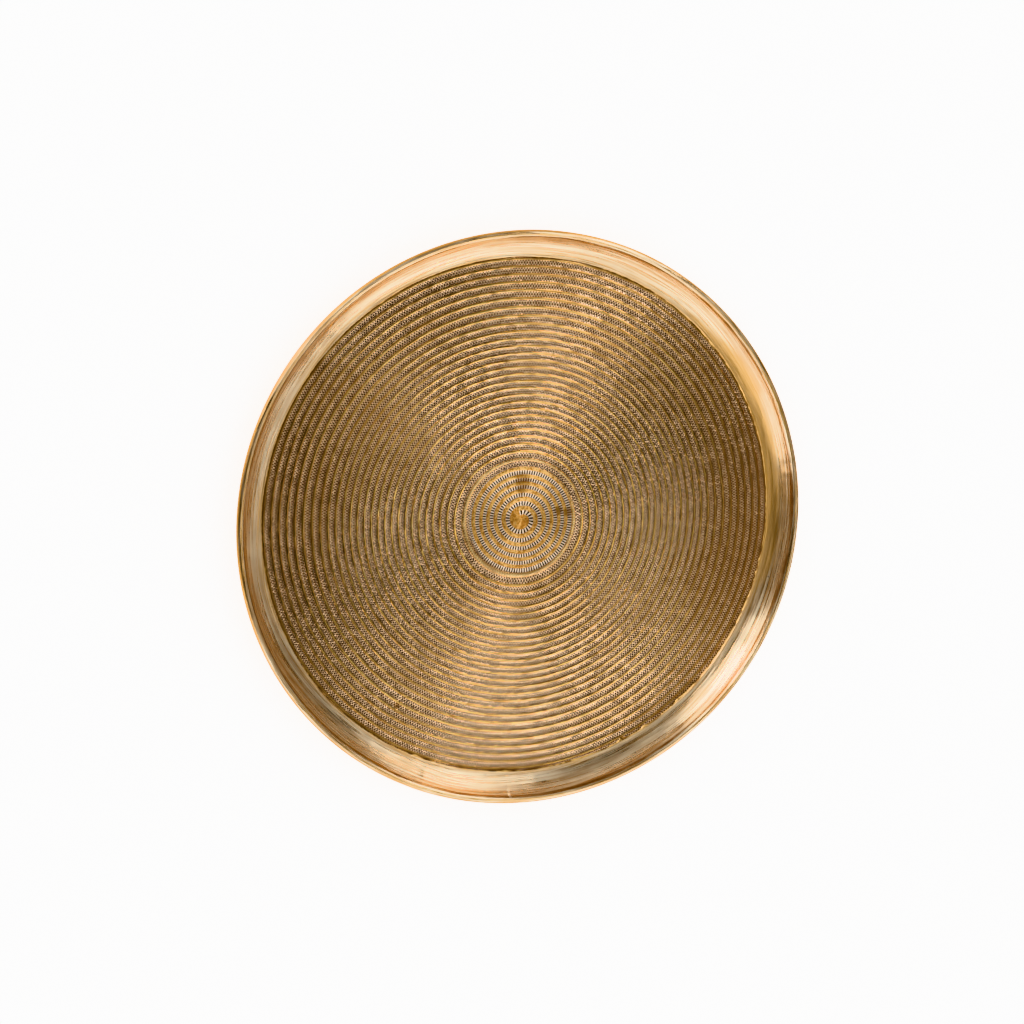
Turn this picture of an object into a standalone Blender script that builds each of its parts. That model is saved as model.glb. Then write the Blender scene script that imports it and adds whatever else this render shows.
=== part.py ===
"""A round serving tray in brass sheet, put together as a tinsmith does it.

A flat embossed plate carries a hoop of coved strip, whose foot laps over the plate's margin and is soldered to
it. The hoop's upper edge is rolled outwards round a wire, and its two ends are butted and brazed at the seam.

Units are metres, +Z is up, and the origin is the middle of the face that the tray rests on.
"""

from math import atan2, cos, hypot, pi, radians, sin

import bmesh
import bpy

# Driving dimensions
TRAY_RADIUS = 0.200
TRAY_HEIGHT = 0.0173
FLOOR_RADIUS = 0.181  # the open floor, inside the hoop's foot
PLATE_THICKNESS = 0.0010
STRIP_THICKNESS = 0.0008
JOINT_GAP = 0.0003  # left between pieces that touch on the real tray

# The plate's margin under the hoop
PLATE_LAP = 0.0035

# The hoop: a flat foot, a hollow curved wall and a rolled edge
FOOT_WIDTH = 0.0015
COVE_START_ANGLE = radians(14)
ROLL_RADIUS = 0.0025
ROLL_START_ANGLE = radians(202.5)
ROLL_END_ANGLE = radians(-112.5)  # it stops short of the wall, so the roll stays open along its underside
WIRE_RADIUS = 0.00135

# The solder in the corner between the plate and the foot, and the brazed butt seam
SOLDER_LEG = 0.0008
SEAM_ANGLE = radians(-92)
SEAM_WIDTH = 0.0020
CUTTER_MARGIN = 0.010  # how far the seam's cutter reaches past the hoop's section

# Facets
RING_STEPS = 72
COVE_STEPS = 6
ROLL_STEPS = 14
WIRE_SIDES = 8
SHARP_ANGLE = radians(35)

BRASS = (0.71, 0.48, 0.20)
BRASS_STRIP = (0.78, 0.56, 0.28)
STEEL = (0.42, 0.41, 0.39)
SOLDER = (0.20, 0.13, 0.07)
BRAZE = (0.85, 0.66, 0.36)


def material(name, colour, roughness, metallic=1.0):
    made = bpy.data.materials.new(name)
    made.use_nodes = True
    shader = made.node_tree.nodes["Principled BSDF"]
    shader.inputs["Base Color"].default_value = (*colour, 1.0)
    shader.inputs["Roughness"].default_value = roughness
    shader.inputs["Metallic"].default_value = metallic
    return made


def arc(centre, radius, start, end, steps):
    """Points (r, z) on a circle in the plane of a radial section."""
    angles = [start + (end - start) * i / steps for i in range(steps + 1)]
    return [(centre[0] + radius * cos(a), centre[1] + radius * sin(a)) for a in angles]


def turned(name, section, finish):
    """A closed section (r, z), turned once about Z."""
    bm = bmesh.new()
    corners = [bm.verts.new((r, 0, z)) for r, z in section]
    outline = [bm.edges.new(pair) for pair in zip(corners, corners[1:] + corners[:1], strict=True)]
    bmesh.ops.spin(
        bm, geom=corners + outline, axis=(0, 0, 1), angle=2 * pi, steps=RING_STEPS, use_merge=True
    )
    bmesh.ops.recalc_face_normals(bm, faces=bm.faces)
    mesh = bpy.data.meshes.new(name)
    bm.to_mesh(mesh)
    bm.free()
    made = bpy.data.objects.new(name, mesh)
    bpy.context.collection.objects.link(made)
    finished(made, finish)
    return made


def finished(piece, finish):
    piece.data.shade_smooth()
    piece.data.set_sharp_from_angle(angle=SHARP_ANGLE)
    piece.data.materials.append(finish)


def roll_centre():
    return TRAY_RADIUS - ROLL_RADIUS, TRAY_HEIGHT - ROLL_RADIUS


def crease():
    """Where the wall's inner face meets the roll."""
    r, z = roll_centre()
    return r + ROLL_RADIUS * cos(ROLL_START_ANGLE), z + ROLL_RADIUS * sin(ROLL_START_ANGLE)


def cove():
    """The wall's inner face as an arc from the foot to the crease: its centre, radius and first and last angle."""
    foot_r, foot_z = FLOOR_RADIUS + FOOT_WIDTH, foot_top()
    crease_r, crease_z = crease()
    chord = hypot(crease_r - foot_r, crease_z - foot_z)
    chord_angle = atan2(crease_z - foot_z, crease_r - foot_r)
    half_sweep = chord_angle - COVE_START_ANGLE
    radius = chord / (2 * sin(half_sweep))
    start = COVE_START_ANGLE - pi / 2
    centre = (foot_r - radius * cos(start), foot_z - radius * sin(start))
    return centre, radius, start, start + 2 * half_sweep


def foot_top():
    return PLATE_THICKNESS + JOINT_GAP + STRIP_THICKNESS


def hoop_section():
    """The strip's section, first along its inner face from foot to roll, then back along its outer face."""
    centre, radius, start, end = cove()
    roll = (roll_centre(), ROLL_RADIUS)
    inner = [(FLOOR_RADIUS, foot_top())]
    inner += arc(centre, radius, start, end, COVE_STEPS)
    inner += arc(*roll, ROLL_START_ANGLE, ROLL_END_ANGLE, ROLL_STEPS)[1:]
    outer = arc(roll[0], ROLL_RADIUS - STRIP_THICKNESS, ROLL_END_ANGLE, ROLL_START_ANGLE, ROLL_STEPS)
    under = arc(centre, radius + STRIP_THICKNESS, end, start, COVE_STEPS)
    foot_bottom = foot_top() - STRIP_THICKNESS
    # The foot's flat underside starts where the wall's outer face comes down to it.
    outer += [point for point in under if point[1] > foot_bottom + 1e-5]
    outer += [(FLOOR_RADIUS + FOOT_WIDTH, foot_bottom), (FLOOR_RADIUS, foot_bottom)]
    return inner + outer


def seam_cut(piece, name, width, operation):
    """Cuts a ring at the seam: DIFFERENCE takes a slot of this width out of it, and INTERSECT keeps only that."""
    reach = TRAY_RADIUS - FLOOR_RADIUS + 2 * CUTTER_MARGIN
    radius = (TRAY_RADIUS + FLOOR_RADIUS) / 2
    bpy.ops.mesh.primitive_cube_add(
        size=1,
        location=(radius * cos(SEAM_ANGLE), radius * sin(SEAM_ANGLE), TRAY_HEIGHT / 2),
        rotation=(0, 0, SEAM_ANGLE),
        scale=(reach, width, TRAY_HEIGHT + 2 * CUTTER_MARGIN),
    )
    cutter = bpy.context.object
    cutter.name = name
    cutter.hide_render = True
    cutter.display_type = "WIRE"
    cut = piece.modifiers.new("seam", "BOOLEAN")
    cut.object = cutter
    cut.operation = operation
    cut.solver = "EXACT"


def floor_plate():
    bpy.ops.mesh.primitive_cylinder_add(
        vertices=RING_STEPS,
        radius=FLOOR_RADIUS + PLATE_LAP,
        depth=PLATE_THICKNESS,
        location=(0, 0, PLATE_THICKNESS / 2),
    )
    plate = bpy.context.object
    plate.name = "floor_plate"
    finished(plate, material("embossed_brass", BRASS, 0.36))


def rim_hoop():
    """The strip, bent round the plate, with its two ends left apart for the seam."""
    hoop = turned("rim_hoop", hoop_section(), material("rim_brass", BRASS_STRIP, 0.26))
    seam_cut(hoop, "hoop_slot", SEAM_WIDTH + 2 * JOINT_GAP, "DIFFERENCE")


def seam_braze():
    """The metal run between the strip's ends, with the strip's own section."""
    braze = turned("seam_braze", hoop_section(), material("braze", BRAZE, 0.30))
    seam_cut(braze, "braze_slot", SEAM_WIDTH, "INTERSECT")


def edge_wire():
    section = arc(roll_centre(), WIRE_RADIUS, 0, 2 * pi, WIRE_SIDES)[:-1]
    turned("edge_wire", section, material("steel_wire", STEEL, 0.45))


def floor_solder():
    outside = FLOOR_RADIUS - JOINT_GAP
    bottom = PLATE_THICKNESS + JOINT_GAP
    section = [(outside, bottom), (outside, bottom + SOLDER_LEG), (outside - SOLDER_LEG, bottom)]
    turned("floor_solder", section, material("tarnished_solder", SOLDER, 0.60))


def main():
    for old in list(bpy.data.objects):
        bpy.data.objects.remove(old, do_unlink=True)
    floor_plate()
    rim_hoop()
    seam_braze()
    edge_wire()
    floor_solder()


main()
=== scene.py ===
"""The looks of a round brass tray: an embossed plate, a coved hoop with a rolled edge, solder and braze.

Lengths are metres in the part's own frame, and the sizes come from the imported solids.
"""

from math import atan2, cos, hypot, pi, radians, sin

import bmesh
import bpy
import numpy as np
from mathutils import Matrix, Vector


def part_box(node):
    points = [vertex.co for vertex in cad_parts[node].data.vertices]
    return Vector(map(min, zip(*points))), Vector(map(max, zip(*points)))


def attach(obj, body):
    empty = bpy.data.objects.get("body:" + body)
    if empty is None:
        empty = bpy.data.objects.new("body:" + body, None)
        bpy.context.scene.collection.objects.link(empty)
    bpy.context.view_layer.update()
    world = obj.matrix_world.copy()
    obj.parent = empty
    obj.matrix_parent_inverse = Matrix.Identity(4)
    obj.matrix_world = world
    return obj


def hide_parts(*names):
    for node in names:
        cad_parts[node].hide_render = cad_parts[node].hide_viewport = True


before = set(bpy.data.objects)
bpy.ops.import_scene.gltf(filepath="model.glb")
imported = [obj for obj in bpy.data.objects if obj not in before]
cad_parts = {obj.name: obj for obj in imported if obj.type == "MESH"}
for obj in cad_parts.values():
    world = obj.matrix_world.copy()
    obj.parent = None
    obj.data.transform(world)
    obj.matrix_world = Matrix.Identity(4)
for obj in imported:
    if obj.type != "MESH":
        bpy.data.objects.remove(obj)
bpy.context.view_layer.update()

SEED = 7
TURN = 2 * pi

# ---------------------------------------------------------------- sizes, read from the solids

_, plate_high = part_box("floor_plate")
hoop_low, hoop_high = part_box("rim_hoop")
wire_low, wire_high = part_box("edge_wire")
_, solder_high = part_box("floor_solder")

JOINT_GAP = 0.0003
TRAY_RADIUS = hoop_high.y
TRAY_HEIGHT = hoop_high.z
PLATE_RADIUS = plate_high.x
PLATE_TOP = plate_high.z
FLOOR_RADIUS = solder_high.x + JOINT_GAP
FOOT_BOTTOM = hoop_low.z
STRIP = 0.0008
FOOT_WIDTH = 0.0015
COVE_START_ANGLE = radians(14)
ROLL_HEIGHT = (wire_low.z + wire_high.z) / 2
ROLL_RADIUS = TRAY_HEIGHT - ROLL_HEIGHT
ROLL_START_ANGLE = radians(202.5)
ROLL_END_ANGLE = radians(-112.5)
SEAM_ANGLE = radians(-92)
SEAM_WIDTH = 0.0020

# ---------------------------------------------------------------- the embossed spiral

SPIRAL_CENTRE = (-0.0006, -0.00085)  # struck by hand, a little off the tray's middle
COARSE_CENTRE = (0.0001, -0.0001)  # and its coarse turns off the fine ones
SPIRAL_START = radians(251)  # measured clockwise from +X, seen from above
SPIRAL_INNER = 0.0032
# The pitch wanders as the hand works outwards: radius, then the distance to the next turn
PITCHES = (
    (0.004, 0.0068),
    (0.014, 0.0061),
    (0.020, 0.0053),
    (0.031, 0.0049),
    (0.037, 0.0064),
    (0.041, 0.0066),
    (0.047, 0.0055),
    (0.056, 0.0050),
    (0.070, 0.0048),
    (0.100, 0.0047),
    (0.122, 0.0049),
    (0.138, 0.0053),
    (0.149, 0.0061),
    (0.158, 0.0055),
    (0.172, 0.0052),
)
COARSE_RADIUS = 0.0372  # inside it the tool's marks are coarse and widely spaced
COARSE_MARK = 0.00170  # from one tool mark to the next along the spiral
FINE_MARK = 0.00190
MERGED_WIDTH = 0.008  # just outside the coarse turns the plain ridge almost vanishes
RIDGE_STEP = 0.0034
BAND_MIDDLE = 0.31  # places across one turn, as shares of the pitch
BAND_OUTER = 0.62
RIDGE_INNER = 0.71
RIDGE_OUTER = 0.92
# In the coarse turns the band is narrower: where each of the shares above really lies
SHARES = (0.0, BAND_MIDDLE, BAND_OUTER, RIDGE_INNER, RIDGE_OUTER, 1.0)
COARSE_SHARES = (0.0, 0.22, 0.44, 0.56, 0.92, 1.0)
RIDGE_RISE = 0.00020
TICK_CREST = -0.00002
TICK_PIT = -0.00038
PLATE_BEVEL = 0.0002
SHEET_WAVE = 0.00005  # how far the hammered sheet is out of flat
WALL_SWAY = 0.00010  # how far the wall leans in and out
EDGE_SWELL = 0.00004  # how much the roll's edge comes and goes
PLATE_EDGE_STEPS = 360
HOOP_STEPS = 600
SOLDER_STEPS = 1200
OFF_THE_FACE = -9  # a place that is nowhere up the wall

# ---------------------------------------------------------------- the photograph's viewpoint

VIEW_TILT = radians(19.48)
FAR_AZIMUTH = radians(-35.03)
VIEW_DISTANCE = 1.5332
LENS_MM = 78.09
SENSOR_MM = 36.0
FRAME_SHIFT = 0.0085


def smoothstep(low, high, value):
    t = np.clip((value - low) / (high - low), 0.0, 1.0)
    return t * t * (3 - 2 * t)


def wave(angle, seed, count=5, lowest=1, highest=9):
    """A smooth, closed, seeded wobble round the tray, between about -1 and 1."""
    chance = np.random.default_rng(seed)
    total = np.zeros_like(angle)
    for _ in range(count):
        turns = chance.integers(lowest, highest + 1)
        total += chance.uniform(0.4, 1.0) * np.sin(turns * angle + chance.uniform(0, TURN))
    return total / count


def mesh_object(name, points, faces, sharp_from=radians(60)):
    mesh = bpy.data.meshes.new(name)
    mesh.from_pydata(points, [], faces)
    mesh.update()
    mesh.shade_smooth()
    mesh.set_sharp_from_angle(angle=sharp_from)
    made = bpy.data.objects.new(name, mesh)
    bpy.context.collection.objects.link(made)
    return made


# ---------------------------------------------------------------- the floor plate


class Spiral:
    """The embossed spiral as lines that run beside each other from the middle out.

    The angle theta grows clockwise, seen from above. A line is given by its share of the way across a turn.
    """

    def __init__(self, outer_radius):
        step = radians(0.5)
        count = int(60 * TURN / step)
        self.theta = np.arange(count) * step
        radius = np.empty(count)
        radius[0] = SPIRAL_INNER
        for i in range(1, count):
            radius[i] = radius[i - 1] + self.pitch_at(radius[i - 1]) * step / TURN
        wobble = 0.00012 * wave(self.theta * 0.61803, SEED, 6, 1, 5)
        self.radius = radius + wobble * smoothstep(0.01, 0.04, radius)
        last = int(np.searchsorted(radius, outer_radius))
        self.end = self.theta[last]
        run = np.hypot(np.diff(radius), radius[1:] * step)
        self.length = np.concatenate([[0], np.cumsum(run)])
        mark = np.where(radius[1:] < COARSE_RADIUS, COARSE_MARK, FINE_MARK)
        self.marks = np.concatenate([[0], np.cumsum(run / mark)])

    @staticmethod
    def pitch_at(radius):
        return np.interp(radius, *zip(*PITCHES, strict=True))

    def inner(self, theta):
        return np.interp(theta, self.theta, self.radius)

    def across(self, theta, share):
        """The radius of a line at an angle."""
        inner = self.inner(theta)
        coarse = smoothstep(COARSE_RADIUS + 0.0015, COARSE_RADIUS - 0.0015, inner)
        share = share + coarse * (np.interp(share, SHARES, COARSE_SHARES) - share)
        return inner + share * (self.inner(theta + TURN) - inner)

    def even_angles(self, measure, step):
        """Angles from the start to the end, a step of this measure apart."""
        whole = np.interp(self.end, self.theta, measure)
        return np.interp(np.append(np.arange(0, whole, step), whole), measure, self.theta)


def zip_lines(inner, outer, inner_at, outer_at):
    """Triangles between two lines of points, given their indices and their angles."""
    keys = np.concatenate([(inner_at[1:] + inner_at[:-1]) / 2, (outer_at[1:] + outer_at[:-1]) / 2])
    from_inner = np.concatenate([np.ones(len(inner) - 1, bool), np.zeros(len(outer) - 1, bool)])
    from_inner = from_inner[np.argsort(keys, kind="stable")]
    i = np.cumsum(from_inner) - from_inner
    j = np.cumsum(~from_inner) - ~from_inner
    first = np.where(from_inner, inner[i], outer[j])
    second = np.where(from_inner, inner[np.minimum(i + 1, len(inner) - 1)], inner[i])
    third = np.where(from_inner, outer[j], outer[np.minimum(j + 1, len(outer) - 1)])
    return np.stack([first, second, third], axis=1)


class Plate:
    """Collects the plate's points, and its faces with the place of each corner on the spiral."""

    def __init__(self):
        self.points, self.faces, self.places, self.count = [], [], [], 0

    def add_points(self, radius, theta, height, centre=(0.0, 0.0)):
        height = np.broadcast_to(height, radius.shape)
        angle = theta + SPIRAL_START
        x = centre[0] + radius * np.cos(angle)
        y = centre[1] - radius * np.sin(angle)
        self.points.append(np.stack([x, y, height], axis=1))
        self.count += len(radius)
        return np.arange(self.count - len(radius), self.count)

    def add_line(self, radius, theta, height):
        """A line of the spiral, on the sheet's own unevenness."""
        coarse = smoothstep(COARSE_RADIUS + 0.007, COARSE_RADIUS - 0.002, radius)
        centre = [b + coarse * (a - b) for a, b in zip(COARSE_CENTRE, SPIRAL_CENTRE, strict=True)]
        line = self.add_points(radius, theta, height, centre)
        points = self.points[-1]
        points[:, 2] += floor_height(points[:, 0], points[:, 1])
        return line

    def add_faces(self, corners, ticks=0.0, shares=-1.0):
        """ticks counts tool marks along the spiral. shares is the way across a turn, -1 off the spiral."""
        places = np.empty((*corners.shape, 2))
        places[..., 0] = ticks
        places[..., 1] = shares
        self.faces += corners.tolist()
        self.places.append(places.reshape(-1, 2))

    def object(self, name):
        made = mesh_object(name, np.concatenate(self.points), self.faces)
        layer = made.data.uv_layers.new(name="spiral")
        layer.uv.foreach_set("vector", np.concatenate(self.places).astype(np.float32).ravel())
        return made


# Dents in the floor: clockwise angle and radius, then half length along the radius, half width and depth.
FLOOR_DENTS = (
    (radians(123.7), 0.1540, 0.0045, 0.0008, 0.00040),
    (radians(192.5), 0.1520, 0.0040, 0.0010, 0.00030),
    (radians(210.0), 0.1495, 0.0040, 0.0011, 0.00035),
    (radians(344.0), 0.1450, 0.0030, 0.0010, 0.00020),
    (radians(268.0), 0.0260, 0.0040, 0.0016, 0.00020),
)


def squeezed(radius, last_radius):
    """Draws in the turns hidden under the hoop's foot, so that they end inside the plate's edge."""
    room = PLATE_RADIUS - 3 * PLATE_BEVEL - FLOOR_RADIUS - hypot(*SPIRAL_CENTRE)
    rest = last_radius - FLOOR_RADIUS
    return np.where(radius > FLOOR_RADIUS, FLOOR_RADIUS + (radius - FLOOR_RADIUS) * room / rest, radius)


def floor_height(x, y):
    """The sheet's own slow unevenness, and its dents."""
    height = np.sin(31 * x + 12 * y) + np.sin(-19 * x + 27 * y + 1.3) + np.sin(52 * x + 43 * y + 2.1)
    height *= SHEET_WAVE * smoothstep(FLOOR_RADIUS - 0.001, FLOOR_RADIUS - 0.02, np.hypot(x, y))
    for angle, radius, half_length, half_width, depth in FLOOR_DENTS:
        along = x * cos(angle) - y * sin(angle) - radius
        aside = x * sin(angle) + y * cos(angle)
        height -= depth * np.exp(-((along / half_length) ** 2) - (aside / half_width) ** 2)
    return height


def floor_plate():
    spiral = Spiral(FLOOR_RADIUS + 0.0011)
    end = spiral.end
    tick_at = np.union1d(spiral.even_angles(spiral.marks, 0.5), [TURN])
    ridge_at = np.union1d(spiral.even_angles(spiral.length, RIDGE_STEP), [end - TURN])
    last_radius = spiral.across(end, RIDGE_OUTER)
    marks = np.interp(tick_at, spiral.theta, spiral.marks)
    ridge_marks = np.interp(ridge_at, spiral.theta, spiral.marks)
    coarse = spiral.inner(tick_at) < COARSE_RADIUS
    started = smoothstep(0, 0.6, tick_at)
    chance = np.random.default_rng(SEED + 8)

    def tick_height(offset):
        """Crests at whole marks and pits halfway, shifted by offset, each struck a bit differently."""
        part = np.abs((marks + offset) % 1.0 - 0.5) * 2
        pressure = chance.uniform(0.75, 1.10, len(marks))
        pressure = pressure * (1 + 0.1 * wave(tick_at * 0.7639, SEED + 1, 7, 3, 40))
        return PLATE_TOP + started * pressure * (TICK_PIT + (TICK_CREST - TICK_PIT) * part)

    plate = Plate()
    lines = {}
    staggered = np.where(coarse, 0.0, 0.5)
    for share, offset in ((0.0, 0.0), (BAND_MIDDLE, staggered), (BAND_OUTER, 0.0)):
        radius = squeezed(spiral.across(tick_at, share), last_radius)
        lines[share] = plate.add_line(radius, tick_at, tick_height(offset))
    from_merged = (spiral.inner(ridge_at) - COARSE_RADIUS) / MERGED_WIDTH
    merged = smoothstep(-0.3, 0.1, from_merged) * smoothstep(1.0, 0.5, from_merged)
    rise = RIDGE_RISE * smoothstep(0, 0.6, ridge_at)
    rise = rise * (1 + 0.25 * wave(ridge_at * 0.5257, SEED + 2, 7, 2, 30))
    rise = rise * (1 - 0.8 * merged)
    for share in (RIDGE_INNER, RIDGE_OUTER):
        radius = squeezed(spiral.across(ridge_at, share), last_radius)
        lines[share] = plate.add_line(radius, ridge_at, PLATE_TOP + rise)

    # The knurled band, two rows of marks wide
    for inner, outer in ((0.0, BAND_MIDDLE), (BAND_MIDDLE, BAND_OUTER)):
        a, b = lines[inner], lines[outer]
        quads = np.stack([a[:-1], a[1:], b[1:], b[:-1]], axis=1)
        ticks = np.stack([marks[:-1], marks[1:], marks[1:], marks[:-1]], axis=1)
        plate.add_faces(quads, ticks, np.array([inner, inner, outer, outer]))

    # The plain ridge, and the slopes on both its sides
    all_marks = np.concatenate([marks, marks, marks, ridge_marks, ridge_marks])
    all_shares = np.concatenate(
        [
            np.full(len(marks), 0.0),
            np.full(len(marks), BAND_MIDDLE),
            np.full(len(marks), BAND_OUTER),
            np.full(len(ridge_marks), RIDGE_INNER),
            np.full(len(ridge_marks), RIDGE_OUTER),
        ]
    )
    slope = zip_lines(lines[BAND_OUTER], lines[RIDGE_INNER], tick_at, ridge_at)
    plate.add_faces(slope, all_marks[slope], all_shares[slope])
    a, b = lines[RIDGE_INNER], lines[RIDGE_OUTER]
    crown = np.stack([a[:-1], a[1:], b[1:], b[:-1]], axis=1)
    plate.add_faces(crown, all_marks[crown], all_shares[crown])
    ridge_part = ridge_at <= end - TURN + 1e-9
    tick_part = tick_at >= TURN - 1e-9
    next_turn = lines[0.0][tick_part]
    last_line = lines[RIDGE_OUTER][ridge_part]
    slope = zip_lines(last_line, next_turn, ridge_at[ridge_part], tick_at[tick_part] - TURN)
    shares = all_shares[slope]
    shares[shares == 0.0] = 1.0
    plate.add_faces(slope, all_marks[slope], shares)

    # The plain middle, inside the first turn
    first_turn = lines[0.0][tick_at <= TURN + 1e-9]
    start = [lines[share][0] for share in (RIDGE_OUTER, RIDGE_INNER, BAND_OUTER, BAND_MIDDLE)]
    plate.add_faces(np.array([[*first_turn, *start]])[:, ::-1])

    # The margin under the foot, the plate's edge and its underside
    last_turn = lines[RIDGE_OUTER][ridge_at >= end - TURN - 1e-9]
    last_at = ridge_at[ridge_at >= end - TURN - 1e-9]
    edge_at = np.linspace(last_at[1], end, PLATE_EDGE_STEPS)
    rows = []
    edge = ((PLATE_BEVEL, PLATE_TOP), (0, PLATE_TOP - PLATE_BEVEL), (0, PLATE_BEVEL), (PLATE_BEVEL, 0))
    for inset, height in edge:
        rows.append(plate.add_points(np.full(PLATE_EDGE_STEPS, PLATE_RADIUS - inset), edge_at, height))
    plate.add_faces(zip_lines(last_turn[1:], rows[0], last_at[1:], edge_at))
    across_end = [lines[share][-1] for share in (0.0, BAND_MIDDLE, BAND_OUTER, RIDGE_INNER, RIDGE_OUTER)]
    plate.add_faces(np.array([[*across_end[::-1], last_turn[0], last_turn[1], rows[0][0], rows[0][-1]]]))
    for upper, lower in zip(rows[:-1], rows[1:], strict=True):
        ring = np.stack([upper, np.roll(upper, -1), np.roll(lower, -1), lower], axis=1)
        plate.add_faces(ring)
    plate.add_faces(rows[-1][None, :])
    return plate.object("embossed_plate")


# ---------------------------------------------------------------- the hoop, its seam and the solder


def arc(centre, radius, start, end, steps):
    """Points (r, z) on a circle in the plane of a radial section."""
    angles = np.linspace(start, end, steps + 1)
    return np.stack([centre[0] + radius * np.cos(angles), centre[1] + radius * np.sin(angles)], axis=1)


def rounded(line, reach, steps):
    """An open line with each corner that turns more than 15 degrees drawn as a curve of this reach."""
    done = [line[0]]
    for before, corner, after in zip(line[:-2], line[1:-1], line[2:], strict=True):
        a, b = before - corner, after - corner
        bend = pi - np.arccos(np.clip(a @ b / np.linalg.norm(a) / np.linalg.norm(b), -1, 1))
        if bend < radians(15):
            done.append(corner)
            continue
        start = corner + a * min(reach / np.linalg.norm(a), 0.45)
        stop = corner + b * min(reach / np.linalg.norm(b), 0.45)
        for t in np.linspace(0, 1, steps + 1):
            done.append((1 - t) ** 2 * start + 2 * t * (1 - t) * corner + t**2 * stop)
    done.append(line[-1])
    return np.array(done)


# Knocks in the wall: clockwise angle and place up the wall, then half width, half height and depth.
WALL_DENTS = (
    (radians(110.5), 0.55, 0.0016, 0.0045, 0.00045),
    (radians(103.5), 0.45, 0.0010, 0.0050, 0.00015),
    (radians(118), 0.92, 0.0090, 0.0008, 0.00025),
    (radians(124), 0.88, 0.0030, 0.0008, 0.00020),
    (radians(143), 0.30, 0.0009, 0.0030, 0.00025),
    (radians(351), 0.80, 0.0010, 0.0028, 0.00030),
    (radians(31), 0.88, 0.0012, 0.0016, 0.00030),
    (radians(64), 0.08, 0.0030, 0.0015, 0.00030),
    (radians(202), 1.60, 0.0040, 0.0010, 0.00020),
    (radians(211), 1.40, 0.0020, 0.0010, 0.00015),
    (radians(292), 1.30, 0.0008, 0.0006, 0.00040),
    (radians(281), 1.25, 0.0005, 0.0004, 0.00025),
    (radians(315), 0.80, 0.0006, 0.0006, 0.00015),
)


class HoopSection:
    """The strip's closed section: along its inner face from foot to roll, then back along its outer face.

    place is how far up the wall each point of the inner face lies: 0 at the foot, 1 at the roll's crease.
    """

    def __init__(self):
        roll = (TRAY_RADIUS - ROLL_RADIUS, ROLL_HEIGHT)
        foot = (FLOOR_RADIUS + FOOT_WIDTH, FOOT_BOTTOM + STRIP)
        crease_r = roll[0] + ROLL_RADIUS * cos(ROLL_START_ANGLE)
        crease_z = roll[1] + ROLL_RADIUS * sin(ROLL_START_ANGLE)
        half_sweep = atan2(crease_z - foot[1], crease_r - foot[0]) - COVE_START_ANGLE
        radius = hypot(crease_r - foot[0], crease_z - foot[1]) / (2 * sin(half_sweep))
        start = COVE_START_ANGLE - pi / 2
        end = start + 2 * half_sweep
        centre = (foot[0] - radius * cos(start), foot[1] - radius * sin(start))
        soft = STRIP * 0.3
        edge = [(FLOOR_RADIUS, FOOT_BOTTOM + STRIP - soft), (FLOOR_RADIUS + soft, FOOT_BOTTOM + STRIP)]
        wall = arc(centre, radius, start, end, 26)
        curl = arc(roll, ROLL_RADIUS, ROLL_START_ANGLE, ROLL_END_ANGLE, 44)
        inner = np.concatenate([edge, wall, curl[1:]])
        outer = [
            arc(roll, ROLL_RADIUS - STRIP, ROLL_END_ANGLE, ROLL_START_ANGLE, 18),
            arc(centre, radius + STRIP, end, start, 14),
            [(FLOOR_RADIUS + FOOT_WIDTH, FOOT_BOTTOM), (FLOOR_RADIUS + soft, FOOT_BOTTOM)],
        ]
        inner = rounded(inner, 0.0004, 3)
        self.points = np.concatenate([inner, *outer])
        self.on_face = np.arange(len(self.points)) < len(inner)
        run = np.concatenate([[0], np.cumsum(np.linalg.norm(np.diff(inner, axis=0), axis=1))])
        at_crease = np.argmin(np.linalg.norm(inner - (crease_r, crease_z), axis=1))
        self.wall_length = run[at_crease]
        up_wall = np.pad(run, (0, len(self.points) - len(run))) / self.wall_length
        self.place = np.where(self.on_face, up_wall, OFF_THE_FACE)
        along = np.roll(self.points, -1, axis=0) - np.roll(self.points, 1, axis=0)
        along /= np.linalg.norm(along, axis=1)[:, None]
        self.normals = np.stack([-along[:, 1], along[:, 0]], axis=1)
        self.lift = (self.points[:, 1] - FOOT_BOTTOM) / (TRAY_HEIGHT - FOOT_BOTTOM)

    def at(self, angle):
        """The section at one place round the tray, with the hand's unevenness and the wall's knocks."""
        sway = 1 + wave(angle, SEED + 3, 7, 2, 13)
        swell = 1 + wave(angle, SEED + 4, 7, 5, 40)
        moved = self.points.copy()
        moved[:, 0] -= self.lift * WALL_SWAY * sway + EDGE_SWELL * swell
        moved[:, 1] -= self.lift * WALL_SWAY * swell
        for at, up, half_width, half_height, depth in WALL_DENTS:
            aside = ((-angle - at + pi) % TURN - pi) * TRAY_RADIUS
            if abs(aside) < 3 * half_width:
                above = (self.place - up) * self.wall_length
                push = depth * np.exp(-((aside / half_width) ** 2) - (above / half_height) ** 2)
                moved -= self.normals * push[:, None]
        return moved


def turned_mesh(name, angles, closed_ring, section_at):
    """A closed section carried round the tray. section_at(angle) gives the section's points (r, z)."""
    rows = []
    for angle in angles:
        r, z = section_at(angle).T
        rows.append(np.stack([r * cos(angle), r * sin(angle), z], axis=1))
    points, count = np.concatenate(rows), len(rows[0])
    i = np.arange(len(angles) if closed_ring else len(angles) - 1)[:, None] * count
    j = np.arange(count)[None, :]
    after = (i + count) % len(points)
    following = (j + 1) % count
    faces = np.stack([i + following, after + following, after + j, i + j], axis=-1).reshape(-1, 4).tolist()
    if not closed_ring:
        faces.append(list(range(count))[::-1])
        faces.append(list(range(len(points) - count, len(points))))
    return mesh_object(name, points, faces)


HALF_SEAM = SEAM_WIDTH / 2 / TRAY_RADIUS


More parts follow.
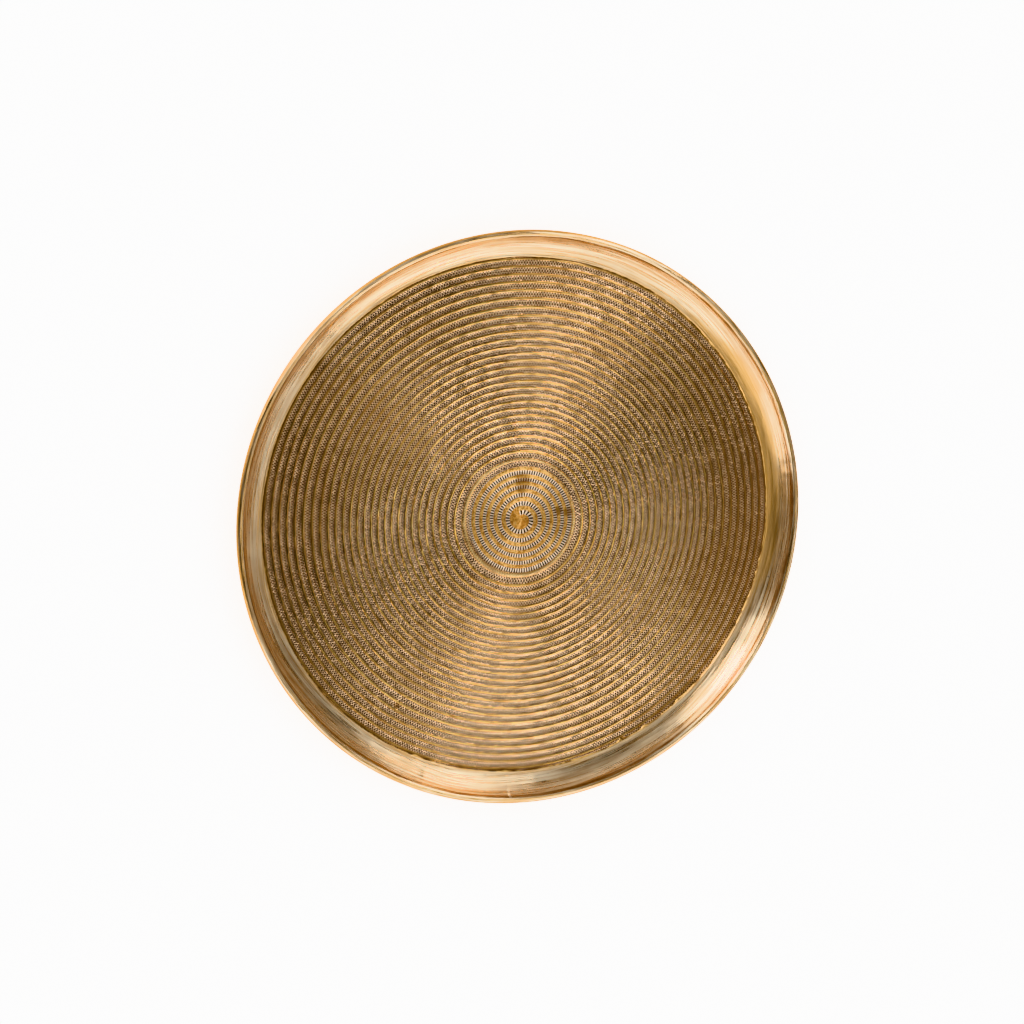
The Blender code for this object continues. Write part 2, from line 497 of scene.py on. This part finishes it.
def rim_hoop():
    section = HoopSection()
    angles = np.linspace(SEAM_ANGLE + HALF_SEAM, SEAM_ANGLE - HALF_SEAM + TURN, HOOP_STEPS)
    return turned_mesh("rolled_hoop", angles, False, section.at)


def seam_braze():
    """Metal between the strip's ends, filed flush but for a low bead up the wall and a blob by the roll."""
    section = HoopSection()
    angles = np.linspace(SEAM_ANGLE - HALF_SEAM, SEAM_ANGLE + HALF_SEAM, 9)
    count = np.arange(len(section.points))
    rough = 1 + 0.5 * np.sin(count * 1.7) * np.sin(count * 0.6)
    bead = smoothstep(0.48, 0.60, section.place) * smoothstep(1.0, 0.92, section.place)
    blob = np.exp(-(((section.place - 0.90) / 0.05) ** 2))

    def section_at(angle):
        across = (angle - SEAM_ANGLE) / HALF_SEAM
        crown = np.exp(-((across / 0.45) ** 2)) * (1 - across**2)
        rise = crown * (0.00022 * rough * bead + 0.0007 * blob)
        return section.at(angle) + section.normals * (rise * section.on_face)[:, None]

    return turned_mesh("seam_bead", angles, False, section_at)


# Lumps in the solder line: clockwise angle, then half length along it and extra width.
SOLDER_LUMPS = (
    (radians(48), 0.0030, 0.0009),
    (radians(58), 0.0022, 0.0012),
    (radians(64), 0.0030, 0.0020),
    (radians(77), 0.0060, 0.0009),
    (radians(92), 0.0030, 0.0008),
    (radians(113.5), 0.0020, 0.0016),
    (radians(171), 0.0040, 0.0007),
    (radians(236), 0.0030, 0.0006),
    (radians(318), 0.0050, 0.0008),
)


def floor_solder():
    """An uneven fillet of solder in the corner between the plate and the foot."""
    angles = np.linspace(0, TURN, SOLDER_STEPS, endpoint=False)
    uneven = wave(angles, SEED + 5, 9, 6, 60) + wave(angles, SEED + 6, 9, 60, 260)
    width = np.maximum(0.0005 + 0.0006 * uneven, 0.0001)
    for at, half_length, extra in SOLDER_LUMPS:
        aside = ((-angles - at + pi) % TURN - pi) * FLOOR_RADIUS
        width = width + extra * np.exp(-((aside / half_length) ** 2))
    height = 0.0008 + 0.0005 * wave(angles, SEED + 7, 9, 10, 200)
    base = PLATE_TOP - 0.00045
    back = FLOOR_RADIUS + 0.0003
    share = np.linspace(0, pi / 2, 6)

    def section_at(angle):
        k = int(round(angle / TURN * len(angles))) % len(angles)
        r = back - (width[k] + 0.0003) * np.cos(share) ** 1.4
        z = base + (height[k] + 0.0005) * np.sin(share) ** 1.4
        return np.concatenate([np.stack([r, z], axis=1)[::-1], [[back, base]]])[::-1]

    return turned_mesh("solder_line", angles, True, section_at)


# ---------------------------------------------------------------- materials


class Shading:
    """A node material with one Principled shader, and short ways to add nodes to it."""

    def __init__(self, name):
        self.material = bpy.data.materials.new(name)
        self.material.use_nodes = True
        self.tree = self.material.node_tree
        self.shader = self.tree.nodes["Principled BSDF"]

    def feed(self, socket, value):
        if isinstance(value, bpy.types.NodeSocket):
            self.tree.links.new(value, socket)
        elif isinstance(value, tuple) and socket.type == "RGBA":
            socket.default_value = (*value, 1.0)
        else:
            socket.default_value = value

    def math(self, operation, *values, clamp=False):
        node = self.tree.nodes.new("ShaderNodeMath")
        node.operation = operation
        node.use_clamp = clamp
        for socket, value in zip(node.inputs, values, strict=False):
            self.feed(socket, value)
        return node.outputs[0]

    def total(self, *values):
        result = values[0]
        for value in values[1:]:
            result = self.math("ADD", result, value)
        return result

    def product(self, *values):
        result = values[0]
        for value in values[1:]:
            result = self.math("MULTIPLY", result, value)
        return result

    def ramp(self, value, low, high, to_low=0.0, to_high=1.0):
        """A smooth step from one value to another."""
        node = self.tree.nodes.new("ShaderNodeMapRange")
        node.interpolation_type = "SMOOTHSTEP"
        for socket, setting in zip(node.inputs, (value, low, high, to_low, to_high), strict=False):
            self.feed(socket, setting)
        return node.outputs[0]

    def mix(self, share, a, b):
        node = self.tree.nodes.new("ShaderNodeMix")
        node.data_type = "RGBA"
        self.feed(node.inputs[0], share)
        self.feed(node.inputs[6], a)
        self.feed(node.inputs[7], b)
        return node.outputs[2]

    def vector(self, x, y, z):
        node = self.tree.nodes.new("ShaderNodeCombineXYZ")
        for socket, value in zip(node.inputs, (x, y, z), strict=True):
            self.feed(socket, value)
        return node.outputs[0]

    def noise(self, place, scale=1.0, detail=3.0, roughness=0.5):
        node = self.tree.nodes.new("ShaderNodeTexNoise")
        node.inputs["Scale"].default_value = scale
        node.inputs["Detail"].default_value = detail
        node.inputs["Roughness"].default_value = roughness
        self.feed(node.inputs["Vector"], place)
        return node.outputs[0]

    def place(self):
        """The object's own coordinates: the whole vector, then x, y and z."""
        node = self.tree.nodes.new("ShaderNodeTexCoord")
        split = self.tree.nodes.new("ShaderNodeSeparateXYZ")
        self.tree.links.new(node.outputs["Object"], split.inputs[0])
        return (node.outputs["Object"], *split.outputs)

    def round_place(self):
        """Radius, and the cosine and sine of the clockwise angle."""
        _, x, y, _ = self.place()
        radius = self.math("SQRT", self.total(self.product(x, x), self.product(y, y)))
        safe = self.math("MAXIMUM", radius, 1e-5)
        return radius, self.math("DIVIDE", x, safe), self.math("DIVIDE", self.product(y, -1.0), safe)

    def streaks(self, radius, cosine, sine, fineness, length, detail=2.0):
        """Noise drawn out round the tray: fineness per metre outwards, and length in waves per radian."""
        place = self.vector(
            self.product(radius, fineness), self.product(cosine, length), self.product(sine, length)
        )
        return self.noise(place, 1.0, detail)

    def bump(self, height, distance, strength=1.0):
        node = self.tree.nodes.new("ShaderNodeBump")
        node.inputs["Strength"].default_value = strength
        node.inputs["Distance"].default_value = distance
        self.feed(node.inputs["Height"], height)
        self.tree.links.new(node.outputs[0], self.shader.inputs["Normal"])

    def brushed_round(self, strength):
        """Brush marks that run round the Z axis, so that reflections are drawn out across them."""
        tangent = self.tree.nodes.new("ShaderNodeTangent")
        tangent.direction_type = "RADIAL"
        tangent.axis = "Z"
        self.tree.links.new(tangent.outputs[0], self.shader.inputs["Tangent"])
        self.set(Anisotropic=strength, Anisotropic_Rotation=0.25)

    def set(self, **values):
        for name, value in values.items():
            self.feed(self.shader.inputs[name.replace("_", " ")], value)


PATINA = (0.045, 0.020, 0.008)
UMBER = (0.24, 0.115, 0.042)
GOLD = (0.94, 0.50, 0.13)
SHADED_SLOPE_GOLD = (0.80, 0.38, 0.09)
PALE_GOLD = (0.95, 0.65, 0.25)
LINE_GOLD = (0.95, 0.65, 0.25)
HIGHLIGHT_CROWN_GOLD = (0.97, 0.76, 0.32)
BRASS = (0.78, 0.50, 0.26)
PALE_BRASS = (0.98, 0.82, 0.58)
OLIVE = (0.46, 0.26, 0.10)
AMBER = (0.80, 0.46, 0.14)
RUST = (0.46, 0.20, 0.05)
COARSE_GOLD = (0.98, 0.54, 0.17)
DARK_SCRIBBLE = (0.42, 0.17, 0.04)
PALE_SCRIBBLE = (0.98, 0.63, 0.24)
KNURL = (0.97, 0.67, 0.42)
DULL_KNURL = (0.50, 0.28, 0.12)
COARSE_KNURL = (0.98, 0.80, 0.62)
STAIN = (0.22, 0.10, 0.028)
DIRT = (0.12, 0.060, 0.018)
OUTLINE_REFLECTION_BROWN = (0.66, 0.36, 0.12)
BEAD = (0.97, 0.84, 0.62)
TARNISH_AND_REFLECTION_SIDE = radians(345)  # the side, clockwise from +X, where the amber near the foot, partly tarnish and partly a painted reflection, is widest
BRUSHING = 0.6  # how far the brushing draws the reflections out


# Dark stains on the floor: x and y of the middle, and the size.
STAINS = (
    (0.0000, 0.0265, 0.0070),
    (-0.0010, 0.0205, 0.0040),
    (0.0335, 0.0045, 0.0040),
    (0.0265, 0.0060, 0.0035),
    (-0.0860, -0.1290, 0.0028),
)


def plate_brass():
    """Embossed brass: bright ridges with a painted highlight on their crowns and painted shade on their
    slopes, knurled bands with tarnished hollows, broad darker patches, and painted shade on two opposite
    sides of the outer turns.
    """
    s = Shading("embossed_brass")
    uv = s.tree.nodes.new("ShaderNodeUVMap")
    uv.uv_map = "spiral"
    split = s.tree.nodes.new("ShaderNodeSeparateXYZ")
    s.tree.links.new(uv.outputs[0], split.inputs[0])
    ticks, share = split.outputs[0], split.outputs[1]
    radius, cosine, sine = s.round_place()
    whole = s.place()[0]

    coarse = s.ramp(radius, COARSE_RADIUS - 0.0002, COARSE_RADIUS + 0.0002, 1.0, 0.0)
    merged = s.product(
        s.ramp(radius, COARSE_RADIUS - 0.001, COARSE_RADIUS + 0.001),
        s.ramp(radius, COARSE_RADIUS + MERGED_WIDTH * 0.5, COARSE_RADIUS + MERGED_WIDTH, 1.0, 0.0),
    )
    band = s.total(s.ramp(share, BAND_OUTER, BAND_OUTER + 0.06, 1.0, 0.0), s.ramp(share, 0.95, 1.0))
    band = s.math("MAXIMUM", band, s.product(merged, 0.35))
    band = s.product(band, s.ramp(share, -0.6, -0.4))
    beat = s.math("COSINE", s.product(ticks, TURN))
    row = s.math("COSINE", s.product(share, TURN / BAND_OUTER))
    row = s.total(s.product(row, s.math("SUBTRACT", 1.0, coarse)), coarse)
    struck = s.noise(whole, 420.0, 1.0)
    hollow = s.ramp(s.total(s.product(beat, row), s.ramp(struck, 0.3, 0.7, -0.12, 0.12)), 0.10, -0.22)
    hollow = s.product(hollow, band)

    patches = s.noise(whole, 9.0, 2.0)
    flecks = s.noise(whole, 60.0, 4.0, 0.6)
    rings = s.streaks(radius, cosine, sine, 900.0, 2.5)
    fine_rings = s.streaks(radius, cosine, sine, 4200.0, 5.0)
    tarnish = s.total(s.product(patches, 0.50), s.product(rings, 0.35), s.product(flecks, 0.15))
    outwards = s.ramp(radius, 0.03, 0.17)
    tarnish = s.ramp(s.total(tarnish, s.product(outwards, 0.06)), 0.42, 0.68)
    outer = s.total(radius, s.product(flecks, 0.006))
    rim_dirt = s.ramp(outer, FLOOR_RADIUS - 0.0005, FLOOR_RADIUS + 0.0030)
    rim_dirt = s.product(rim_dirt, s.ramp(s.noise(whole, 45.0, 2.0), 0.35, 0.60, 0.15, 0.9))

    off_crown = s.math("ABSOLUTE", s.math("SUBTRACT", share, 0.80))
    ridge = s.mix(s.product(s.ramp(radius, 0.045, 0.085), 0.6), GOLD, LINE_GOLD)
    ridge = s.mix(s.ramp(fine_rings, 0.40, 0.65), ridge, PALE_GOLD)
    # Painted highlight along each ridge's crown, and painted shade on its slopes
    ridge = s.mix(s.ramp(off_crown, 0.02, 0.08, 0.6, 0.0), ridge, HIGHLIGHT_CROWN_GOLD)
    ridge = s.mix(s.ramp(off_crown, 0.06, 0.13, 0.0, 0.85), ridge, SHADED_SLOPE_GOLD)
    ridge = s.mix(s.product(coarse, 0.45), ridge, COARSE_GOLD)
    scratches = s.ramp(s.streaks(radius, cosine, sine, 1400.0, 3.0), 0.56, 0.68)
    blotches = s.ramp(s.noise(whole, 160.0, 3.0, 0.6), 0.48, 0.66)
    ridge = s.mix(s.product(blotches, 0.5), ridge, RUST)
    ridge = s.mix(s.product(tarnish, 0.6), ridge, UMBER)
    ridge = s.mix(s.product(scratches, 0.7), ridge, UMBER)
    ridge = s.mix(s.ramp(radius, 0.148, 0.176, 0.0, 0.4), ridge, UMBER)
    scribble = s.noise(whole, 620.0, 4.0, 0.7)
    ridge = s.mix(s.product(s.ramp(scribble, 0.51, 0.57), coarse, 0.75), ridge, DARK_SCRIBBLE)
    ridge = s.mix(s.product(s.ramp(scribble, 0.42, 0.48, 1.0, 0.0), coarse, 0.6), ridge, PALE_SCRIBBLE)
    knurl = s.mix(s.product(tarnish, 0.5), KNURL, DULL_KNURL)
    knurl = s.mix(s.product(coarse, 0.9), knurl, COARSE_KNURL)
    knurl = s.mix(hollow, knurl, PATINA)
    colour = s.mix(band, ridge, knurl)
    # Painted shade: the outer turns are darker on two opposite sides, where the brushed rings reflect little
    # light
    painted_shade_flanks = s.ramp(s.math("ABSOLUTE", sine), 0.2, 0.75, 1.0, 0.0)
    painted_shade_flanks = s.product(painted_shade_flanks, s.ramp(radius, 0.09, 0.16))
    colour = s.mix(s.product(painted_shade_flanks, s.ramp(band, 0.0, 1.0, 0.65, 0.28)), colour, UMBER)
    stain = 0.0
    for x, y, size in STAINS:
        spot = s.tree.nodes.new("ShaderNodeVectorMath")
        spot.operation = "DISTANCE"
        s.feed(spot.inputs[0], whole)
        spot.inputs[1].default_value = (x, y, PLATE_TOP)
        away = s.total(spot.outputs["Value"], s.product(flecks, -0.6 * size))
        stain = s.math("MAXIMUM", stain, s.ramp(away, 0.1 * size, 0.9 * size, 0.7, 0.0))
    colour = s.mix(stain, colour, STAIN)
    colour = s.mix(rim_dirt, colour, DIRT)
    dull = s.math("MAXIMUM", hollow, rim_dirt)
    s.set(Base_Color=colour)
    s.set(Metallic=s.ramp(dull, 0.0, 1.0, 1.0, 0.80), Specular_IOR_Level=0.25)
    rough = s.ramp(dull, 0.0, 1.0, 0.22, 0.60)
    s.set(Roughness=s.total(rough, s.product(tarnish, 0.10), s.product(coarse, 0.24)))
    s.brushed_round(BRUSHING)
    s.bump(s.total(s.product(fine_rings, 0.6), s.product(flecks, 0.4), s.product(hollow, -1.0)), 0.00008, 0.8)
    return s.material


def hoop_brass(name, pale=0.0):
    """Turned brass: fine rings of brushing, amber low down that is partly tarnish and partly a painted
    reflection, a painted shade line in the crease, and a painted dark reflection along the outline.

    pale is how pale the bead up the seam is, and 0 leaves it out.
    """
    s = Shading(name)
    radius, cosine, sine = s.round_place()
    whole, _, _, z = s.place()
    slant = s.product(s.noise(whole, 7.0, 1.0), 0.014)
    across = s.total(radius, z, slant)
    fine = s.streaks(across, cosine, sine, 1250.0, 5.0)
    brushing = s.streaks(across, cosine, sine, 520.0, 3.0, 4.0)
    strokes = s.total(s.product(fine, 0.5), s.product(brushing, 0.5))
    broad = s.streaks(across, cosine, sine, 170.0, 1.8, 3.0)
    cloud = s.noise(whole, 26.0, 3.0, 0.6)
    flecks = s.noise(whole, 260.0, 4.0, 0.65)
    patches = s.noise(whole, 14.0, 3.0, 0.6)
    # Amber creeps up from the foot, furthest on one side: partly tarnish, partly a painted reflection
    side = s.total(s.product(cosine, cos(TARNISH_AND_REFLECTION_SIDE)), s.product(sine, sin(TARNISH_AND_REFLECTION_SIDE)))
    side = s.ramp(side, 0.76, 0.97)
    reach = s.total(s.product(side, 0.0075), s.ramp(patches, 0.45, 0.65, -0.0010, 0.0010))
    low = s.math("SUBTRACT", s.total(radius, s.product(cloud, 0.0040)), s.total(reach, FLOOR_RADIUS))
    low = s.product(s.ramp(low, 0.0010, 0.0070, 1.0, 0.0), s.total(s.product(side, 0.30), 0.50))
    tarnish = s.ramp(s.total(s.product(broad, 0.6), s.product(cloud, 0.4)), 0.40, 0.68)
    colour = s.mix(s.ramp(strokes, 0.42, 0.56), BRASS, PALE_BRASS)
    colour = s.mix(s.product(tarnish, 0.60), colour, OLIVE)
    colour = s.mix(low, colour, AMBER)
    on_roll = s.ramp(z, ROLL_HEIGHT - 0.004, ROLL_HEIGHT)

    def ring_line(depth, width):
        """1 on a line round the roll, this depth in from the outline, falling to 0 over its width."""
        aside = s.math("ABSOLUTE", s.math("SUBTRACT", radius, TRAY_RADIUS - depth))
        return s.product(s.ramp(aside, 0.25 * width, width, 1.0, 0.0), on_roll)

    worn = s.ramp(s.streaks(across, cosine, sine, 60.0, 7.0), 0.36, 0.56)
    lines = s.total(ring_line(0.0026, 0.00035), ring_line(0.0034, 0.00040))
    colour = s.mix(s.product(lines, s.ramp(worn, 0.0, 1.0, 0.35, 0.9)), colour, AMBER)
    # Painted shade: a darker line along the crease where the wall turns into the roll
    colour = s.mix(s.product(ring_line(0.0049, 0.0008), s.ramp(cloud, 0.35, 0.6, 0.4, 0.9)), colour, UMBER)
    # Painted reflection: a brown band along the outline, where the roll's edge mirrors darker surroundings
    outline = s.ramp(s.total(radius, s.product(cloud, 0.0012)), TRAY_RADIUS - 0.0014, TRAY_RADIUS - 0.0002)
    colour = s.mix(outline, colour, OUTLINE_REFLECTION_BROWN)
    specks = s.ramp(flecks, 0.68, 0.76)
    colour = s.mix(s.product(specks, 0.5), colour, PATINA)
    if pale:
        bead = s.ramp(z, FOOT_BOTTOM + 0.35 * TRAY_HEIGHT, FOOT_BOTTOM + 0.45 * TRAY_HEIGHT)
        bead = s.product(bead, s.ramp(radius, TRAY_RADIUS - 0.0052, TRAY_RADIUS - 0.0045, 1.0, 0.0))
        colour = s.mix(s.product(bead, pale), colour, BEAD)
    s.set(Base_Color=colour, Metallic=1.0, Specular_Tint=(1.0, 0.72, 0.38))
    rough = s.ramp(strokes, 0.4, 0.6, 0.22, 0.36)
    s.set(Roughness=s.total(rough, s.product(tarnish, 0.10), s.product(low, 0.12), s.product(outline, 0.2)))
    s.brushed_round(BRUSHING)
    grain = s.total(s.product(strokes, 1.5), s.product(broad, 1.2), s.product(flecks, 0.1))
    s.bump(s.total(grain, s.product(patches, 4.0)), 0.00045, 0.8)
    return s.material


def solder_metal():
    s = Shading("tarnished_solder")
    whole = s.place()[0]
    grain = s.noise(whole, 500.0, 4.0, 0.6)
    broad = s.noise(whole, 130.0, 3.0, 0.6)
    colour = s.mix(s.ramp(grain, 0.35, 0.7), (0.10, 0.048, 0.014), (0.40, 0.20, 0.06))
    colour = s.mix(s.ramp(broad, 0.40, 0.56), colour, (0.80, 0.50, 0.18))
    s.set(Base_Color=colour, Metallic=0.7)
    s.set(Roughness=s.ramp(grain, 0.2, 0.8, 0.60, 0.36))
    s.bump(grain, 0.0003, 0.7)
    return s.material


def wire_steel():
    s = Shading("steel_wire")
    whole = s.place()[0]
    grain = s.noise(whole, 700.0, 3.0)
    s.set(Base_Color=s.mix(grain, (0.30, 0.28, 0.26), (0.50, 0.48, 0.46)), Metallic=1.0)
    s.set(Roughness=s.ramp(grain, 0.2, 0.8, 0.35, 0.55))
    return s.material


def dress(piece, material):
    piece.data.materials.clear()
    piece.data.materials.append(material)


# ---------------------------------------------------------------- camera, lights, floor


def photo_camera():
    far = Vector((cos(FAR_AZIMUTH), sin(FAR_AZIMUTH), 0))
    aside = Vector((sin(FAR_AZIMUTH), -cos(FAR_AZIMUTH), 0))
    up = Vector((0, 0, 1))
    back = cos(VIEW_TILT) * up - sin(VIEW_TILT) * far
    along = cos(VIEW_TILT) * far + sin(VIEW_TILT) * up
    right = cos(FAR_AZIMUTH) * along + sin(FAR_AZIMUTH) * aside
    above = sin(FAR_AZIMUTH) * along - cos(FAR_AZIMUTH) * aside
    data = bpy.data.cameras.new("photo_camera")
    data.lens = LENS_MM
    data.sensor_width = SENSOR_MM
    data.shift_x = -FRAME_SHIFT
    data.shift_y = FRAME_SHIFT
    camera = bpy.data.objects.new("photo_camera", data)
    bpy.context.collection.objects.link(camera)
    turned = Matrix((right, above, back)).transposed().to_4x4()
    target = Vector((*SPIRAL_CENTRE, PLATE_TOP))
    camera.matrix_world = Matrix.Translation(target + VIEW_DISTANCE * back) @ turned
    bpy.context.scene.camera = camera


# Soft panels all round the room: name, azimuth and elevation in degrees, size, and share of the power.
PANELS = (
    ("far_left_low", 144, 11, (0.72, 0.70), 40.2),
    ("far_left", 140, 29, (0.72, 0.70), 10.8),
    ("far", 120, 47, (0.72, 0.70), 1.4),
    ("far_low", 97, 11, (1.20, 0.70), 2.4),
    ("far_right_low", 54, 11, (0.72, 0.70), 5.4),
    ("far_right_high", 48, 47, (0.72, 0.70), 14.5),
    ("near_right_high", 336, 47, (0.72, 0.70), 2.7),
    ("near_right_top", 315, 65, (0.72, 0.70), 2.0),
    ("near_right", 302, 29, (1.00, 0.70), 17.0),
    ("near_high", 280, 47, (1.40, 0.70), 7.4),
    ("near_left", 240, 29, (0.72, 0.70), 5.4),
    ("near_left_low", 258, 11, (1.20, 0.70), 10.4),
    ("left_low", 219, 11, (0.90, 0.70), 17.1),
    ("overhead", 0, 84, (0.72, 0.70), 0.7),
    ("horizon_near_right", 320, 8, (3.20, 0.50), 2.6),
)
PANEL_POWER = 0.92
PANEL_DISTANCE = 2.2
FLOOR_GLOW = 2.4
BOUNCE_GLOW = 0.60
ROOM_GLOW = 0.40
ROOM_COLOUR = (1.0, 0.79, 0.54, 1.0)
ROOM_REACH = 5.0
ROOM_HEIGHT = 0.9
ROOM_SIDES = 24
WORLD_GLOW = 0.05


def area_light(name, azimuth, elevation, size, power):
    """A soft panel that faces the tray's middle."""
    data = bpy.data.lights.new(name, "AREA")
    data.shape = "RECTANGLE"
    data.size, data.size_y = size
    data.energy = power
    light = bpy.data.objects.new(name, data)
    level = cos(radians(elevation))
    turned = radians(azimuth)
    towards = Vector((level * cos(turned), level * sin(turned), sin(radians(elevation))))
    light.location = towards * PANEL_DISTANCE
    light.rotation_euler = (-towards).to_track_quat("-Z", "Y").to_euler()
    bpy.context.collection.objects.link(light)


def stage_paper(name, glow, colour=(1, 1, 1, 1)):
    paper = bpy.data.materials.new(name)
    paper.use_nodes = True
    shader = paper.node_tree.nodes["Principled BSDF"]
    shader.inputs["Base Color"].default_value = (0.9, 0.9, 0.9, 1)
    shader.inputs["Roughness"].default_value = 0.9
    shader.inputs["Specular IOR Level"].default_value = 0.1
    shader.inputs["Emission Color"].default_value = colour
    shader.inputs["Emission Strength"].default_value = glow
    return paper


def stage_sheet(name, height, material):
    reach = 6.0
    corners = [(x * reach, y * reach, height) for x, y in ((-1, -1), (1, -1), (1, 1), (-1, 1))]
    sheet = mesh_object(name, corners, [(0, 1, 2, 3)])
    sheet.data.materials.append(material)
    return sheet


def only_seen(thing):
    """Leaves the thing in the camera's sight and out of the light that falls on the tray."""
    thing.visible_glossy = thing.visible_diffuse = thing.visible_transmission = False
    thing.visible_volume_scatter = thing.visible_shadow = False


def stage():
    """A white floor and a white dome for the camera, and a dimmer floor that lights the tray from below."""
    only_seen(stage_sheet("stage_floor", -0.0002, stage_paper("stage_paper", FLOOR_GLOW)))
    bounce = stage_sheet("stage_bounce", -0.0005, stage_paper("stage_grey", BOUNCE_GLOW))
    bounce.visible_camera = False
    shape = bmesh.new()
    bmesh.ops.create_uvsphere(shape, u_segments=48, v_segments=24, radius=8.0)
    mesh = bpy.data.meshes.new("stage_dome")
    shape.to_mesh(mesh)
    shape.free()
    mesh.shade_smooth()
    dome = bpy.data.objects.new("stage_dome", mesh)
    bpy.context.collection.objects.link(dome)
    dome.data.materials.append(stage_paper("stage_sky", 2.0))
    only_seen(dome)


def stage_room():
    """A low, warm, dim wall all round, which the camera doesn't see but the brass does."""
    turns = [TURN * step / ROOM_SIDES for step in range(ROOM_SIDES)]
    ring = [(ROOM_REACH * cos(turn), ROOM_REACH * sin(turn)) for turn in turns]
    corners = [(x, y, z) for z in (0.0, ROOM_HEIGHT) for x, y in ring]
    walls = []
    for here in range(ROOM_SIDES):
        there = (here + 1) % ROOM_SIDES
        walls.append((here, there, ROOM_SIDES + there, ROOM_SIDES + here))
    room = mesh_object("stage_room", corners, walls)
    room.data.materials.append(stage_paper("stage_warm", ROOM_GLOW, ROOM_COLOUR))
    room.visible_camera = False


plate = floor_plate()
hoop = rim_hoop()
braze = seam_braze()
solder = floor_solder()
dress(plate, plate_brass())
dress(hoop, hoop_brass("rim_brass"))
dress(braze, hoop_brass("braze", 0.8))
dress(solder, solder_metal())
dress(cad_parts["edge_wire"], wire_steel())

for piece, node, slot in (
    (plate, "floor_plate", "embossed_brass"),
    (hoop, "rim_hoop", "rim_brass"),
    (braze, "seam_braze", "braze"),
    (solder, "floor_solder", "tarnished_solder"),
):
    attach(piece, "root")
    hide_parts(node)

photo_camera()
stage()
stage_room()
for name, azimuth, elevation, size, power in PANELS:
    area_light(name, azimuth, elevation, size, power * PANEL_POWER)
world = bpy.data.worlds.new("studio")
bpy.context.scene.world = world
world.use_nodes = True
world.node_tree.nodes["Background"].inputs["Color"].default_value = (1, 1, 1, 1)
world.node_tree.nodes["Background"].inputs["Strength"].default_value = WORLD_GLOW
bpy.context.scene.view_settings.view_transform = "Khronos PBR Neutral"
